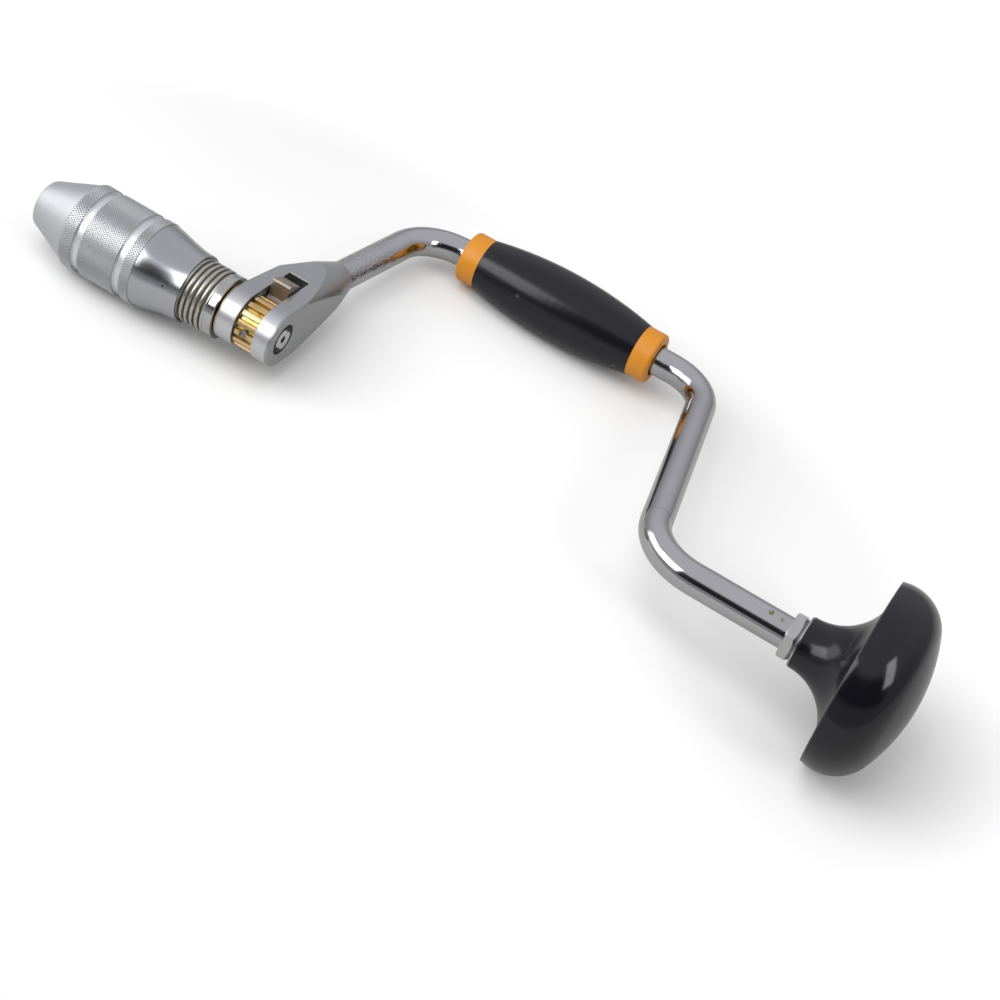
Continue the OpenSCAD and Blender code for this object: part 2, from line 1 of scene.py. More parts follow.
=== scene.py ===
"""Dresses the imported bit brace: finishes, knurls, thread, pad dome, floor, light and camera."""
import math

import bpy
from mathutils import Matrix, Vector


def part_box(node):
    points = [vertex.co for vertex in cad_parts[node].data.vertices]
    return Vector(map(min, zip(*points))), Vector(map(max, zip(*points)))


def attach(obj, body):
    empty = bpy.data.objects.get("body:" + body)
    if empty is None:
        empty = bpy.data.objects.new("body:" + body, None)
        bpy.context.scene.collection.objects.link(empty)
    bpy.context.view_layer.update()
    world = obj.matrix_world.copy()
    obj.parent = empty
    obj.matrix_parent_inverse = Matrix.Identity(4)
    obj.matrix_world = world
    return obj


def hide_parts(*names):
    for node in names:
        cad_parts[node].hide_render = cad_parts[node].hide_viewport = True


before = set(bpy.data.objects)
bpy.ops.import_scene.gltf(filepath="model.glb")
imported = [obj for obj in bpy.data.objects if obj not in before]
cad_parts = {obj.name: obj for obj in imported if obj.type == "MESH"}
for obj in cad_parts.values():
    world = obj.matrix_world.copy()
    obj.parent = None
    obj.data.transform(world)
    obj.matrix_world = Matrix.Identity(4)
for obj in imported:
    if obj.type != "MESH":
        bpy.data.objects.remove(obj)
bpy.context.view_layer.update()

MM = 0.001


# Sizes read from the frame

SHELL_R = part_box("chuck_shell")[1].z
SPINDLE_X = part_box("chuck_spindle")[0].x
HEAD_END_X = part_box("ratchet_head")[1].x
WASHER_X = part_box("thrust_washer")[0].x
GEAR_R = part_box("ratchet_gear")[1].z
GRIP_LOW, GRIP_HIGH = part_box("grip_barrel")
HANDLE_Y = (GRIP_LOW.y + GRIP_HIGH.y) / 2
PAD_LOW, PAD_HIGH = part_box("pad_cap")

# The pad's crown, how far its widest place lies from the rim, and the hole in its underside
CROWN_R = 71 * MM
WIDEST_X = 5 * MM
PAD_HOLE_R = 11 * MM

# The shell's bands along the tool axis, from the nose
NOSE_LEN = 20.3 * MM
FRONT_BAND_W = 5.5 * MM
MAIN_BAND_W = 17.0 * MM
REAR_BAND_W = 4.4 * MM
GROOVE_W = 3.6 * MM
NECK_X = NOSE_LEN + FRONT_BAND_W + MAIN_BAND_W + REAR_BAND_W + 2 * GROOVE_W
COLLAR_X = WASHER_X - 4.0 * MM
THREAD_ROOT_R = 13.0 * MM
THREAD_PITCH = 2.5 * MM
THREAD_RIDGE_R = 0.92 * MM
THREAD_STEPS = 72
RIDGE_SIDES = 14

# Diamonds of the knurls: length to width, and how deep they stand in the shell
DIAMOND_RATIO = 1.3
KNURL_SINK = 0.10 * MM

# The rear end of the spindle in its bore: bright face, with painted shade in a dark crescent at its rim, in
# its centre hole and in a ring of the bore round it
SPINDLE_FACE_R = 5.1 * MM
CRESCENT_W = 1.5 * MM
CRESCENT_DIR = (0.583, 0.812)
CENTRE_HOLE_R = 1.9 * MM
BORE_SHADE_R = 6.9 * MM

# Small blemishes that show in the photograph
NECK_PIT = (68 * MM, -15 * MM, 4 * MM)
RUST_SPECKS = ((337 * MM, -2 * MM, 6.2 * MM), (342 * MM, -2.3 * MM, 6.1 * MM))
BARREL_PITS = ((168 * MM, 110 * MM, 3 * MM), (218 * MM, 114 * MM, -6 * MM))

# Depth of the fine textures, and the softness of machined edges
FINE_DEPTH = 0.2 * MM
EDGE_R = 0.3 * MM


def add_object(name, data):
    """A new object at the origin, linked into the scene."""
    made = bpy.data.objects.new(name, data)
    bpy.context.scene.collection.objects.link(made)
    return made


# Shader expressions

class Value:
    """A shader socket that can stand in a Python expression."""

    def __init__(self, finish, socket):
        self.finish = finish
        self.socket = socket

    def _math(self, operation, first, second):
        return self.finish.node("ShaderNodeMath", {"operation": operation}, {0: first, 1: second})

    def __add__(self, other):
        return self._math("ADD", self, other)

    def __radd__(self, other):
        return self._math("ADD", other, self)

    def __sub__(self, other):
        return self._math("SUBTRACT", self, other)

    def __rsub__(self, other):
        return self._math("SUBTRACT", other, self)

    def __mul__(self, other):
        return self._math("MULTIPLY", self, other)

    def __rmul__(self, other):
        return self._math("MULTIPLY", other, self)

    def __truediv__(self, other):
        return self._math("DIVIDE", self, other)

    def __pow__(self, other):
        return self._math("POWER", self, other)


class Finish:
    """A material or world whose nodes are added by expressions."""

    def __init__(self, owner):
        self.owner = owner
        owner.use_nodes = True
        self.tree = owner.node_tree
        self.tree.nodes.clear()
        is_world = isinstance(owner, bpy.types.World)
        self.output = self.tree.nodes.new("ShaderNodeOutputWorld" if is_world else "ShaderNodeOutputMaterial")

    def node(self, kind, settings=None, inputs=None, output=0):
        made = self.tree.nodes.new(kind)
        for key, value in (settings or {}).items():
            if key == "stops":
                self._set_stops(made.color_ramp, value)
            else:
                setattr(made, key, value)
        for key, value in (inputs or {}).items():
            self._feed(made.inputs[key], value)
        return Value(self, made.outputs[output])

    def _set_stops(self, ramp, stops):
        while len(ramp.elements) < len(stops):
            ramp.elements.new(1.0)
        for element, (place, colour) in zip(ramp.elements, stops):
            element.position = place
            element.color = (*colour, 1.0)

    def _feed(self, socket, value):
        if isinstance(value, Value):
            self.tree.links.new(value.socket, socket)
        elif isinstance(value, tuple) and socket.type == "RGBA":
            socket.default_value = (*value, 1.0)
        else:
            socket.default_value = value

    def place(self):
        return self.node("ShaderNodeTexCoord", output="Object")

    def parts_of(self, vector):
        split = self.tree.nodes.new("ShaderNodeSeparateXYZ")
        self._feed(split.inputs[0], vector)
        return [Value(self, socket) for socket in split.outputs]

    def vector(self, x, y, z):
        return self.node("ShaderNodeCombineXYZ", inputs={0: x, 1: y, 2: z})

    def noise(self, where, scale, detail=2.0, roughness=0.5):
        return self.node("ShaderNodeTexNoise", inputs={
            "Vector": where, "Scale": scale, "Detail": detail, "Roughness": roughness})

    def smooth(self, value, low, high):
        return self.node("ShaderNodeMapRange", {"interpolation_type": "SMOOTHSTEP"}, {
            "Value": value, "From Min": low, "From Max": high, "To Min": 0.0, "To Max": 1.0})

    def blend(self, factor, first, second):
        return self.node("ShaderNodeMix", {"data_type": "RGBA"}, {0: factor, 6: first, 7: second}, 2)

    def bump(self, height, strength, distance, normal=None):
        inputs = {"Height": height, "Strength": strength, "Distance": distance}
        if normal is not None:
            inputs["Normal"] = normal
        return self.node("ShaderNodeBump", inputs=inputs)

    def round_edges(self, radius):
        return self.node("ShaderNodeBevel", {"samples": 6}, {"Radius": radius})

    def spot(self, where, centre, radius):
        """One inside a ball, falling softly to nothing at its edge."""
        away = self.node("ShaderNodeVectorMath", {"operation": "DISTANCE"}, {0: where, 1: centre}, "Value")
        return self.smooth(away, radius, 0.5 * radius)

    def show(self, shader):
        self.tree.links.new(shader.socket, self.output.inputs["Surface"])
        return self.owner

    def surface(self, **sockets):
        return self.show(self.node("ShaderNodeBsdfPrincipled", inputs={
            key.replace("_", " "): value for key, value in sockets.items()}))


def new_finish(name):
    return Finish(bpy.data.materials.new(name))


def radius_about(y, z):
    """Distance from an axis, given the two offsets from it."""
    return (y ** 2.0 + z ** 2.0) ** 0.5


def rear_end(finish, x):
    """One in the last millimetre of the head's rear end, where the spindle comes out."""
    return finish.smooth(x, HEAD_END_X - 1.2 * MM, HEAD_END_X - 0.9 * MM)


# Finishes

def satin_nickel():
    """Turned and plated steel of the chuck shell: satin nose, grooves painted lighter as a painted highlight,
    and a smoother neck.
    """
    f = new_finish("satin_nickel")
    where = f.place()
    x, y, z = f.parts_of(where)
    rings = f.noise(f.vector(x * 9000.0, y * 60.0, z * 60.0), 1.0, 3.0)
    cloud = f.noise(where, 90.0, 4.0)
    marks = f.smooth(f.noise(where, 420.0, 3.0), 0.62, 0.72)
    neck = f.smooth(x, NECK_X - 0.3 * MM, NECK_X + 0.3 * MM)
    # Painted highlight: the grooves between the bands are painted lighter than the shell.
    groove_highlight = f.smooth(radius_about(y, z), SHELL_R - 0.3 * MM, SHELL_R - 0.6 * MM)
    groove_highlight = groove_highlight * f.smooth(x, NOSE_LEN + 3 * MM, NOSE_LEN + 4 * MM) * (1.0 - neck)
    pit = f.spot(where, NECK_PIT, 1.0 * MM)
    tone = f.blend(cloud, (0.52, 0.525, 0.54), (0.60, 0.605, 0.62))
    tone = f.blend(0.5 * neck, tone, (0.36, 0.365, 0.39))
    tone = f.blend(groove_highlight, tone, (0.78, 0.785, 0.80))
    tone = f.blend(pit, tone, (0.01, 0.01, 0.01))
    nose = f.smooth(x, NOSE_LEN + 0.2 * MM, NOSE_LEN - 0.2 * MM)
    rough = (0.32 + 0.10 * rings + 0.06 * cloud) * (1.0 + 0.30 * nose - 0.45 * neck)
    rough = rough + 0.05 * marks + 0.4 * pit
    normal = f.bump(rings, 0.06, FINE_DEPTH, f.round_edges(EDGE_R))
    return f.surface(Base_Color=tone, Metallic=1.0 - pit, Roughness=rough, Normal=normal)


def knurled_nickel():
    """Satin plate of the knurls, with painted shade low between the diamonds."""
    f = new_finish("knurled_nickel")
    where = f.place()
    _, y, z = f.parts_of(where)
    cloud = f.noise(where, 110.0, 4.0)
    # Painted shade: the plate is painted darker low between the diamonds.
    valley_shade = f.smooth(radius_about(y, z), SHELL_R + 0.10 * MM, SHELL_R - 0.02 * MM)
    tone = f.blend(cloud, (0.50, 0.505, 0.51), (0.60, 0.605, 0.61))
    tone = f.blend(0.75 * valley_shade, tone, (0.10, 0.10, 0.10))
    return f.surface(Base_Color=tone, Metallic=1.0, Roughness=0.30 + 0.10 * cloud + 0.15 * valley_shade)


def forged_nickel():
    """Satin plated forging of the head: peened skin, painted highlight on the round ends, painted shade on
    the rear end and a near-black ring of painted shade round the spindle.
    """
    f = new_finish("forged_nickel")
    where = f.place()
    x, y, z = f.parts_of(where)
    skin = f.noise(where, 900.0, 3.0)
    cloud = f.noise(where, 70.0, 4.0)
    grit = f.smooth(f.noise(where, 2600.0, 2.0), 0.60, 0.75)
    end = rear_end(f, x)
    # Painted shade: a near-black ring in the bore round the spindle.
    bore_shade = end * f.smooth(radius_about(y, z), BORE_SHADE_R, BORE_SHADE_R - 0.3 * MM)
    # Painted highlight: the round ends of the head are painted lighter.
    rubbed_and_sheen = f.smooth(y, -1 * MM, -7 * MM) * (1.0 - end)
    tone = f.blend(cloud, (0.43, 0.435, 0.44), (0.51, 0.515, 0.52))
    # Painted shade: the head's rear end is painted darker.
    tone = f.blend(0.4 * end, tone, (0.30, 0.30, 0.30))
    tone = f.blend(rubbed_and_sheen, tone, (0.66, 0.665, 0.68))
    tone = f.blend(bore_shade, tone, (0.02, 0.02, 0.02))
    rough = 0.31 + 0.10 * skin + 0.06 * grit
    normal = f.bump(skin + 0.5 * grit, 0.12, FINE_DEPTH, f.round_edges(0.7 * MM))
    return f.surface(Base_Color=tone, Metallic=1.0 - bore_shade, Roughness=rough, Normal=normal)


def polished_bar():
    """Bright plated bar of the crank, with pits near the head and two rust specks near the pad."""
    f = new_finish("polished_bar")
    where = f.place()
    x, y, _ = f.parts_of(where)
    cloud = f.noise(where, 40.0, 4.0)
    near_head = f.smooth(x, 124 * MM, 112 * MM) * f.smooth(y, 98 * MM, 84 * MM)
    pits = f.smooth(f.noise(where, 1300.0, 2.0), 0.66, 0.74)
    dents = f.smooth(f.noise(where, 620.0, 3.0), 0.35, 0.65)
    rust = f.spot(where, RUST_SPECKS[0], 1.6 * MM) + 0.8 * f.spot(where, RUST_SPECKS[1], 1.4 * MM)
    rust = rust * f.smooth(f.noise(where, 900.0, 3.0), 0.38, 0.50)
    tone = f.blend(cloud, (0.47, 0.47, 0.48), (0.54, 0.54, 0.545))
    tone = f.blend(rust, tone, (0.16, 0.12, 0.03))
    rough = 0.09 + 0.06 * cloud + 0.12 * pits + 0.16 * near_head + 0.4 * rust
    normal = f.bump(0.05 * pits + dents * near_head, 0.35, 2 * FINE_DEPTH)
    return f.surface(Base_Color=tone, Metallic=1.0 - 0.7 * rust, Roughness=rough, Normal=normal)


def thread_steel():
    """Chuck body: thread with brown lubricant in its valleys, polished collar, and the end of the spindle
    with painted shade in a dark crescent round its rim and in its centre hole.
    """
    f = new_finish("thread_steel")
    where = f.place()
    x, y, z = f.parts_of(where)
    depth = radius_about(y, z)
    patch = f.noise(where, 260.0, 4.0)
    threaded = f.smooth(x, COLLAR_X - 0.1 * MM, COLLAR_X - 0.5 * MM)
    low = f.smooth(depth + 1.0 * MM * (0.5 - patch), THREAD_ROOT_R + 0.80 * MM, THREAD_ROOT_R + 0.30 * MM)
    end = rear_end(f, x)
    lean = (CRESCENT_DIR[0] * y + CRESCENT_DIR[1] * z) / depth
    inner = SPINDLE_FACE_R - CRESCENT_W * lean ** 6.0
    # Painted shade: a dark crescent round the rim of the spindle's end, and its centre hole painted black.
    rim = end * f.smooth(depth - inner, -0.15 * MM, 0.15 * MM)
    hole = end * f.smooth(depth, CENTRE_HOLE_R, CENTRE_HOLE_R - 0.6 * MM)
    # Brown grease in the thread's valleys, together with the painted shade at the spindle's end.
    grease_and_shade = low * threaded + rim
    tone = f.blend(patch, (0.44, 0.44, 0.42), (0.58, 0.58, 0.58))
    tone = f.blend(0.6 * end, tone, (0.80, 0.80, 0.80))
    tone = f.blend(grease_and_shade, tone, f.blend(patch, (0.05, 0.045, 0.03), (0.15, 0.12, 0.05)))
    tone = f.blend(rim + hole, tone, (0.01, 0.01, 0.01))
    rough = 0.12 + 0.12 * threaded + 0.08 * patch + 0.35 * grease_and_shade
    normal = f.bump(patch, 0.10, FINE_DEPTH, f.round_edges(EDGE_R))
    return f.surface(Base_Color=tone, Metallic=1.0 - 0.75 * grease_and_shade, Roughness=rough, Normal=normal)


def bright_steel():
    """Turned and polished steel of the small hardware."""
    f = new_finish("bright_steel")
    where = f.place()
    x, y, z = f.parts_of(where)
    rings = f.noise(f.vector(x * 7000.0, y * 80.0, z * 80.0), 1.0, 2.0)
    cloud = f.noise(where, 160.0, 3.0)
    tone = f.blend(cloud, (0.50, 0.50, 0.485), (0.61, 0.61, 0.595))
    rough = 0.16 + 0.08 * rings + 0.08 * cloud
    return f.surface(Base_Color=tone, Metallic=1.0, Roughness=rough,
                     Normal=f.bump(rings, 0.05, FINE_DEPTH, f.round_edges(EDGE_R)))


def plain_steel():
    """Unplated steel of pins and jaws."""
    f = new_finish("plain_steel")
    where = f.place()
    cloud = f.noise(where, 300.0, 4.0)
    tone = f.blend(cloud, (0.20, 0.20, 0.20), (0.34, 0.34, 0.335))
    return f.surface(Base_Color=tone, Metallic=1.0, Roughness=0.32 + 0.14 * cloud,
                     Normal=f.bump(cloud, 0.08, FINE_DEPTH, f.round_edges(EDGE_R)))


def bronzed_steel():
    """Heat treated pawl: brown steel with upright grinding lines."""
    f = new_finish("bronzed_steel")
    where = f.place()
    x, y, z = f.parts_of(where)
    grind = f.noise(f.vector(x * 5000.0, y * 300.0, z * 200.0), 1.0, 3.0)
    cloud = f.noise(where, 200.0, 3.0)
    tone = f.blend(cloud, (0.28, 0.235, 0.19), (0.40, 0.35, 0.30))
    rough = 0.34 + 0.12 * grind
    return f.surface(Base_Color=tone, Metallic=0.9, Roughness=rough,
                     Normal=f.bump(grind, 0.10, FINE_DEPTH, f.round_edges(0.4 * MM)))


def yellow_plate():
    """Yellow passivated plate with its olive and pink tints, pinker on the tips where wear shows."""
    f = new_finish("yellow_plate")
    where = f.place()
    _, y, z = f.parts_of(where)
    tint = f.noise(where, 240.0, 3.0)
    hue = f.node("ShaderNodeValToRGB", {"stops": [
        (0.30, (0.36, 0.31, 0.05)), (0.46, (0.62, 0.48, 0.14)),
        (0.60, (0.70, 0.55, 0.26)), (0.72, (0.66, 0.38, 0.22))]}, {"Fac": tint})
    worn_and_sheen = f.smooth(radius_about(y, z), GEAR_R - 0.9 * MM, GEAR_R - 0.2 * MM) * tint
    stain = f.smooth(f.noise(where, 700.0, 3.0), 0.60, 0.78)
    tone = f.blend(worn_and_sheen, f.blend(stain * 0.4, hue, (0.24, 0.15, 0.05)), (0.78, 0.52, 0.36))
    return f.surface(Base_Color=tone, Metallic=1.0, Roughness=0.32 + 0.14 * stain,
                     Normal=f.bump(stain, 0.08, FINE_DEPTH, f.round_edges(EDGE_R)))


def black_plastic(name, gloss):
    """Black moulding with dust, hairlines, two pits and a lighter, rougher line of painted highlight along
    the seam at the pad's rim; the pad is glossier than the handle.
    """
    f = new_finish(name)
    where = f.place()
    x, y, z = f.parts_of(where)
    rubbed_and_sheen = f.noise(where, 120.0, 3.0)
    dust = f.smooth(f.noise(where, 3000.0, 2.0), 0.70, 0.80)
    hairs = f.smooth(f.noise(f.vector(x * 60.0, y * 2200.0, z * 2200.0), 1.0, 2.0), 0.68, 0.74)
    # Painted highlight: a lighter, rougher line along the seam at the pad's rim.
    worn_and_sheen = f.smooth(x, PAD_LOW.x - 0.7 * MM, PAD_LOW.x - 0.2 * MM)
    worn_and_sheen = worn_and_sheen * f.smooth(x, PAD_LOW.x + 0.7 * MM, PAD_LOW.x + 0.2 * MM)
    pit = f.spot(where, BARREL_PITS[0], 1.1 * MM) + f.spot(where, BARREL_PITS[1], 1.1 * MM)
    tone = f.blend(dust, (0.0058, 0.0055, 0.0080), (0.022, 0.022, 0.026))
    tone = f.blend(pit, tone, (0.05, 0.05, 0.05))
    tone = f.blend(worn_and_sheen, tone, (0.045, 0.045, 0.048))
    rough = 0.42 - 0.34 * gloss + 0.03 * rubbed_and_sheen + 0.08 * dust + 0.008 * hairs + 0.2 * worn_and_sheen
    return f.surface(Base_Color=tone, Roughness=rough, IOR=1.46,
                     Normal=f.bump(rubbed_and_sheen, 0.012, FINE_DEPTH, f.round_edges(0.8 * MM)))


def orange_plastic():
    """Orange moulded ferrules, slightly duller than the barrel."""
    f = new_finish("orange_plastic")
    where = f.place()
    grain = f.noise(where, 1600.0, 3.0)
    cloud = f.noise(where, 120.0, 3.0)
    tone = f.blend(cloud, (0.54, 0.200, 0.005), (0.60, 0.230, 0.008))
    return f.surface(Base_Color=tone, Roughness=0.34 + 0.10 * grain, IOR=1.5,
                     Normal=f.bump(grain, 0.05, 0.3 * MM))


FINISHES = {
    "satin": satin_nickel(),
    "knurled": knurled_nickel(),
    "forged": forged_nickel(),
    "bar": polished_bar(),
    "thread": thread_steel(),
    "bright": bright_steel(),
    "plain": plain_steel(),
    "bronzed": bronzed_steel(),
    "yellow": yellow_plate(),
    "rubbed black": black_plastic("rubbed_black_plastic", 0.60),
    "soft black": black_plastic("soft_black_plastic", 0.74),
    "gloss black": black_plastic("gloss_black_plastic", 0.92),
    "orange": orange_plastic(),
}

NODE_FINISH = {
    "crank_rod": "bar", "ratchet_head": "forged", "rod_pin": "plain", "pawl_pin": "plain",
    "detent_ball": "bright", "detent_spring": "bright", "pad_nut": "bright", "pad_washer": "plain",
    "retaining_washer": "bright", "retaining_nut": "bright", "pawl": "bronzed",
    "chuck_spindle": "thread", "ratchet_gear": "yellow", "gear_pin": "plain", "thrust_washer": "yellow",
    "jaw_spring": "plain", "jaw_cone": "plain", "jaw_upper": "plain", "jaw_lower": "plain",
    "chuck_shell": "satin",
    "grip_barrel": "rubbed black", "front_ferrule": "orange", "rear_ferrule": "orange",
    "pad_base": "soft black", "pad_cap": "gloss black", "pad_bush": "bright",
}


def paint_nodes():
    """Gives every CAD node its finish."""
    for name, finish in NODE_FINISH.items():
        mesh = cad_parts[name].data
        mesh.materials.clear()
        mesh.materials.append(FINISHES[finish])


# Geometry Nodes

class Tree:
    """A Geometry Nodes tree with named inputs, written as calls."""

    def __init__(self, name, sizes):
        self.group = bpy.data.node_groups.new(name, "GeometryNodeTree")
        self.group.interface.new_socket("Geometry", in_out="OUTPUT", socket_type="NodeSocketGeometry")
        self.sizes = sizes
        for size, value in sizes.items():
            kind = "NodeSocketInt" if isinstance(value, int) else "NodeSocketFloat"
            self.group.interface.new_socket(size, in_out="INPUT", socket_type=kind)
        self.start = self.group.nodes.new("NodeGroupInput")
        self.end = self.group.nodes.new("NodeGroupOutput")

    def size(self, name):
        return self.start.outputs[name]

    def node(self, kind, settings=None, inputs=None):
        made = self.group.nodes.new(kind)
        for key, value in (settings or {}).items():
            setattr(made, key, value)
        for key, value in (inputs or {}).items():
            self.feed(made.inputs[key], value)
        return made

    def feed(self, socket, value):
        if isinstance(value, bpy.types.NodeSocket):
            self.group.links.new(value, socket)
        else:
            socket.default_value = value

    def math(self, operation, first, second=0.0):
        return self.node("ShaderNodeMath", {"operation": operation}, {0: first, 1: second}).outputs[0]

    def piece(self, name, geometry, finish):
        """Ends the tree, runs it once and returns a plain mesh object."""
        realized = self.node("GeometryNodeRealizeInstances", inputs={0: geometry})
        painted = self.node("GeometryNodeSetMaterial", inputs={
            "Geometry": realized.outputs[0], "Material": finish})
        self.group.links.new(painted.outputs[0], self.end.inputs[0])
        carrier = add_object(name + "_carrier", bpy.data.meshes.new(name + "_carrier"))
        modifier = carrier.modifiers.new("shape", "NODES")
        modifier.node_group = self.group
        for item in self.group.interface.items_tree:
            if item.in_out == "INPUT":
                modifier[item.identifier] = self.sizes[item.name]
        graph = bpy.context.evaluated_depsgraph_get()
        mesh = bpy.data.meshes.new_from_object(carrier.evaluated_get(graph), depsgraph=graph)
        carrier.modifiers.remove(modifier)
        bpy.data.objects.remove(carrier)
        mesh.name = name
        return add_object(name, mesh)


def knurl_band(name, start_x, width, around, height, finish):
    """Raised diamonds in staggered rows round a band of the shell."""
    diamond_len = DIAMOND_RATIO * 2 * math.pi * SHELL_R / around
    rows = max(2, round(width / (diamond_len / 2)))
    pitch_x = width / rows
    tree = Tree(name, {
        "Radius": SHELL_R - KNURL_SINK, "Start": start_x + pitch_x / 2, "Row pitch": pitch_x,
        "Around": around, "Rows": rows, "Height": height})
    count = tree.math("MULTIPLY", tree.size("Around"), tree.size("Rows"))
    points = tree.node("GeometryNodePoints", inputs={"Count": count})
    index = tree.node("GeometryNodeInputIndex").outputs[0]
    row = tree.math("FLOOR", tree.math("DIVIDE", index, tree.size("Around")))
    column = tree.math("MODULO", index, tree.size("Around"))
    shifted = tree.math("ADD", column, tree.math("MULTIPLY", tree.math("MODULO", row, 2.0), 0.5))
    angle = tree.math("MULTIPLY", tree.math("DIVIDE", shifted, tree.size("Around")), 2 * math.pi)
    x = tree.math("ADD", tree.size("Start"), tree.math("MULTIPLY", row, tree.size("Row pitch")))
    y = tree.math("MULTIPLY", tree.math("COSINE", angle), tree.size("Radius"))
    z = tree.math("MULTIPLY", tree.math("SINE", angle), tree.size("Radius"))
    spot = tree.node("ShaderNodeCombineXYZ", inputs={0: x, 1: y, 2: z}).outputs[0]
    placed = tree.node("GeometryNodeSetPosition", inputs={"Geometry": points.outputs[0], "Position": spot})
    cone = tree.node("GeometryNodeMeshCone", {"fill_type": "NONE"}, {
        "Vertices": 4, "Radius Top": 0.0, "Radius Bottom": 1.0, "Depth": tree.size("Height")})
    half_around = math.pi * SHELL_R / around
    shaped = tree.node("GeometryNodeTransform", inputs={
        "Geometry": cone.outputs[0], "Scale": (half_around, pitch_x, 1.0)})
    turn = tree.node("ShaderNodeCombineXYZ", inputs={
        0: tree.math("SUBTRACT", angle, math.pi / 2), 1: 0.0, 2: 0.0}).outputs[0]
    upright = tree.node("GeometryNodeTransform", inputs={
        "Geometry": shaped.outputs[0], "Rotation": (0.0, 0.0, math.pi / 2)})
    copies = tree.node("GeometryNodeInstanceOnPoints", inputs={
        "Points": placed.outputs[0], "Instance": upright.outputs[0], "Rotation": turn})
    return tree.piece(name, copies.outputs[0], finish)


def chuck_thread(name, start_x, end_x, finish):
    """One round ridge wound round the chuck body."""
    length = end_x - start_x
    tree = Tree(name, {
        "Radius": THREAD_ROOT_R - 0.02 * MM, "Turns": length / THREAD_PITCH, "Length": length,
        "Ridge": THREAD_RIDGE_R, "Start": start_x})
    spiral = tree.node("GeometryNodeCurveSpiral", inputs={
        "Resolution": THREAD_STEPS, "Rotations": tree.size("Turns"), "Start Radius": tree.size("Radius"),
        "End Radius": tree.size("Radius"), "Height": tree.size("Length")})
    ring = tree.node("GeometryNodeCurvePrimitiveCircle", inputs={
        "Resolution": RIDGE_SIDES, "Radius": tree.size("Ridge")})
    ridge = tree.node("GeometryNodeCurveToMesh", inputs={
        "Curve": spiral.outputs[0], "Profile Curve": ring.outputs[0], "Fill Caps": True})
    shift = tree.node("ShaderNodeCombineXYZ", inputs={0: tree.size("Start")}).outputs[0]
    laid = tree.node("GeometryNodeTransform", inputs={
        "Geometry": ridge.outputs[0], "Rotation": (0.0, math.pi / 2, 0.0), "Translation": shift})
    smooth = tree.node("GeometryNodeSetShadeSmooth", inputs={"Geometry": laid.outputs[0]})
    return tree.piece(name, smooth.outputs[0], finish)


def dress_chuck():
    """Knurls on the three bands of the shell and the thread on the chuck body."""
    main_x = NOSE_LEN + FRONT_BAND_W + GROOVE_W
    rear_x = main_x + MAIN_BAND_W + GROOVE_W
    for name, start, width, around, height in (
        ("front_knurl", NOSE_LEN, FRONT_BAND_W, 100, 0.40 * MM),
        ("main_knurl", main_x, MAIN_BAND_W, 116, 0.38 * MM),
        ("rear_knurl", rear_x, REAR_BAND_W, 100, 0.40 * MM),
    ):
        band = knurl_band(name, start, width, around, height, FINISHES["knurled"])
        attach(band, "shell")
    thread = chuck_thread("chuck_thread", SPINDLE_X + 2 * MM, COLLAR_X, FINISHES["thread"])
    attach(thread, "chuck")


def dome_profile():
    """Radius and place along the axis from the cap's underside over its shoulder to the crown."""
    pad_r, height = PAD_HIGH.z, PAD_HIGH.x - PAD_LOW.x
    crown_x = height - CROWN_R
    reach = CROWN_R ** 2 - (WIDEST_X - crown_x) ** 2 - pad_r ** 2
    shoulder_r = reach / (2 * (CROWN_R - pad_r))
    centre_r = pad_r - shoulder_r
    start = -math.asin(WIDEST_X / shoulder_r)
    meet = math.atan2(WIDEST_X - crown_x, centre_r)
    shoulder_steps, crown_steps = 48, 32
    outline = []
    for step in range(shoulder_steps + 1):
        angle = start + (meet - start) * step / shoulder_steps
        outline.append((centre_r + shoulder_r * math.cos(angle), WIDEST_X + shoulder_r * math.sin(angle)))
    for step in range(1, crown_steps):
        angle = meet + (math.pi / 2 - meet) * step / crown_steps
        outline.append((CROWN_R * math.cos(angle), crown_x + CROWN_R * math.sin(angle)))
    return outline, height


def pad_dome():
    """The cap of the pad as one smooth dome, so that the window shows in it as a clean patch."""
    around = 192
    outline, height = dome_profile()
    # The rim's ring comes twice, so that the underside meets the dome in a sharp edge
    rings = [(PAD_HOLE_R, 0.0), outline[0]] + outline
    corners, faces = [], []
    for radius, x in rings:
        for step in range(around):
            turn = 2 * math.pi * step / around
            corners.append((PAD_LOW.x + x, radius * math.cos(turn), radius * math.sin(turn)))
    for ring in range(len(rings) - 1):
        if ring == 1:
            continue
        for step in range(around):
            following = (step + 1) % around
            low, high = ring * around, (ring + 1) * around
            faces.append((low + step, low + following, high + following, high + step))
    corners.append((PAD_LOW.x + height, 0.0, 0.0))
    last = (len(rings) - 1) * around
    for step in range(around):
        faces.append((last + step, last + (step + 1) % around, len(corners) - 1))
    mesh = bpy.data.meshes.new("pad_dome")
    mesh.from_pydata(corners, [], faces)
    mesh.shade_smooth()
    mesh.materials.append(FINISHES["gloss black"])
    dome = add_object("pad_dome", mesh)
    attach(dome, "pad")
    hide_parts("pad_cap")


# Camera, floor and light

IMAGE_PX = 1000
FOCAL_PX = 2066.8
CENTRE_PX = (491.0, 448.5)
SENSOR_MM = 36.0
CAMERA_PLACE = Vector((0.39593, -0.62651, 0.45415))
VIEW_DIR = Vector((-0.23045, 0.79089, -0.56691))
UP_DIR = Vector((-0.48877, 0.40969, 0.77023))

